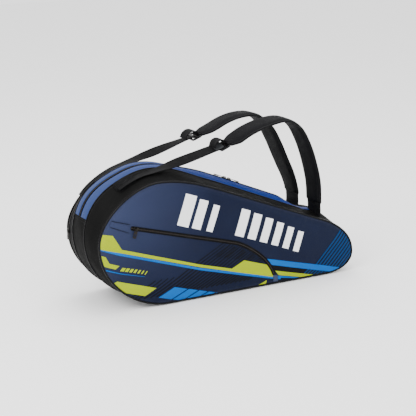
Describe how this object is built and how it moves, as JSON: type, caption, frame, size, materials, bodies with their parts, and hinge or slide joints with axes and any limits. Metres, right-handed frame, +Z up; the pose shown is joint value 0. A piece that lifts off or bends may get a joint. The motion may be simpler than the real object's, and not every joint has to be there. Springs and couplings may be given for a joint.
{
  "type": "racket tournament bag",
  "caption": "Teardrop racket bag with padded side panels, zipped main and rear compartments, a curved-zip side pocket and padded shoulder straps on ladder locks.",
  "frame": {"origin": "on the floor under the middle of the bag's length and width, on the underside of the base", "axes": "+X towards the handle end, -Y out of the printed side panel, +Z up"},
  "size_m": [0.7884, 0.217, 0.4514],
  "materials": {
    "printed_navy": "coated polyester with printed stripes, satin",
    "plain_navy": "coated polyester, satin",
    "blue_fabric": "woven polyester, matte",
    "black_fabric": "coated polyester, semi-matte",
    "strap_fabric": "foam-padded woven nylon, matte",
    "webbing": "woven nylon webbing",
    "piping": "bound piping, slight gloss",
    "zip_tape": "woven tape with a coil",
    "lining": "plain woven lining",
    "black_plastic": "moulded acetal",
    "slider_metal": "black lacquered zinc"
  },
  "bodies": {
    "core": {"base_panel": "black_fabric", "handle_patch": "black_fabric", "head_guard": "black_fabric", "rear_strip": "blue_fabric", "core_zip_tape": "zip_tape", "rear_seam_piping": "piping", "rear_gusset_inner": "black_fabric", "rear_gusset_end": "black_fabric", "rear_zip_tape_inner": "zip_tape", "divider": "lining", "far_strap_foot": "strap_fabric", "far_strap_anchor": "webbing"},
    "front_side": {"front_panel": "printed_navy", "front_piping": "piping", "front_gusset": "black_fabric", "front_seam_piping": "piping", "front_strip": "blue_fabric", "front_zip_tape": "zip_tape", "pocket_pouch": "lining", "pocket_zip_tape": "zip_tape", "pocket_flap": "plain_navy", "pocket_end_tab": "plain_navy", "near_strap_foot": "strap_fabric", "near_strap_anchor": "webbing"},
    "back_side": {"back_panel": "plain_navy", "back_piping": "piping", "rear_gusset_outer": "black_fabric", "rear_zip_tape_outer": "zip_tape"},
    "near_strap": {"near_strap_pad": "strap_fabric", "near_ladder_lock": "black_plastic", "near_webbing": "webbing", "near_webbing_tail": "webbing"},
    "far_strap": {"far_strap_pad": "strap_fabric", "far_ladder_lock": "black_plastic", "far_webbing": "webbing", "far_webbing_tail": "webbing"},
    "main_zip_head_slider": {"main_slider_a": "slider_metal"},
    "main_zip_handle_slider": {"main_slider_b": "slider_metal"},
    "rear_zip_slider": {"rear_slider": "slider_metal"},
    "pocket_zip_slider": {"pocket_slider": "slider_metal"},
    "main_zip_head_pull": {"main_puller_a": "slider_metal"},
    "main_zip_handle_pull": {"main_puller_b": "slider_metal"},
    "rear_zip_pull": {"rear_puller": "slider_metal"},
    "pocket_zip_pull": {"pocket_puller": "slider_metal"}
  },
  "joints": [
    {"name": "front_open", "type": "hinge", "parent": "core", "child": "front_side", "pos_m": [0, -0.0985, 0.0028], "axis": [1, 0, 0], "range_deg": [0, 14]},
    {"name": "back_open", "type": "hinge", "parent": "core", "child": "back_side", "pos_m": [0, 0.0985, 0.0028], "axis": [-1, 0, 0], "range_deg": [0, 12]},
    {"name": "near_strap_swing", "type": "hinge", "parent": "front_side", "child": "near_strap", "pos_m": [0.283, -0.056, 0.2012], "axis": [0.9505, 0.0032, -0.3107], "range_deg": [-4, 60], "deforming": ["near_strap_foot", "near_webbing"]},
    {"name": "far_strap_swing", "type": "hinge", "parent": "core", "child": "far_strap", "pos_m": [0.283, 0.056, 0.2012], "axis": [-0.9601, 0.0028, 0.2796], "range_deg": [-4, 60], "deforming": ["far_strap_foot", "far_webbing"]},
    {"name": "main_zip_head_slide", "type": "slide", "parent": "core", "child": "main_zip_head_slider", "axis": [-0.9247, 0, 0.3808], "range_m": [0, 0.07]},
    {"name": "main_zip_handle_slide", "type": "slide", "parent": "core", "child": "main_zip_handle_slider", "axis": [0.9247, 0, -0.3808], "range_m": [0, 0.12]},
    {"name": "rear_zip_slide", "type": "hinge", "parent": "core", "child": "rear_zip_slider", "pos_m": [-0.2775, 0.08, 0.1835], "axis": [0, 1, 0], "range_deg": [0, 40]},
    {"name": "pocket_zip_slide", "type": "slide", "parent": "front_side", "child": "pocket_zip_slider", "axis": [0.9631, 0, -0.2693], "range_m": [0, 0.24]},
    {"name": "main_head_pull_flip", "type": "hinge", "parent": "main_zip_head_slider", "child": "main_zip_head_pull", "pos_m": [0.03074, 0, 0.29086], "axis": [0, 1, 0], "range_deg": [0, 95]},
    {"name": "main_handle_pull_flip", "type": "hinge", "parent": "main_zip_handle_slider", "child": "main_zip_handle_pull", "pos_m": [0.04424, 0, 0.2853], "axis": [0, -1, 0], "range_deg": [0, 95]},
    {"name": "rear_pull_flip", "type": "hinge", "parent": "rear_zip_slider", "child": "rear_zip_pull", "pos_m": [-0.39258, 0.08, 0.18245], "axis": [0, 1, 0], "range_deg": [0, 165]},
    {"name": "pocket_pull_flip", "type": "hinge", "parent": "pocket_zip_slider", "child": "pocket_zip_pull", "pos_m": [-0.28552, -0.1097, 0.22023], "axis": [-0.9631, 0, 0.2693], "range_deg": [0, 165]}
  ],
  "couplings": [
    {"joint": "main_zip_head_slide", "follows": "front_open", "m_per_rad": 0.28},
    {"joint": "main_zip_handle_slide", "follows": "front_open", "m_per_rad": 0.49},
    {"joint": "rear_zip_slide", "follows": "back_open", "ratio": 3.3}
  ]
}
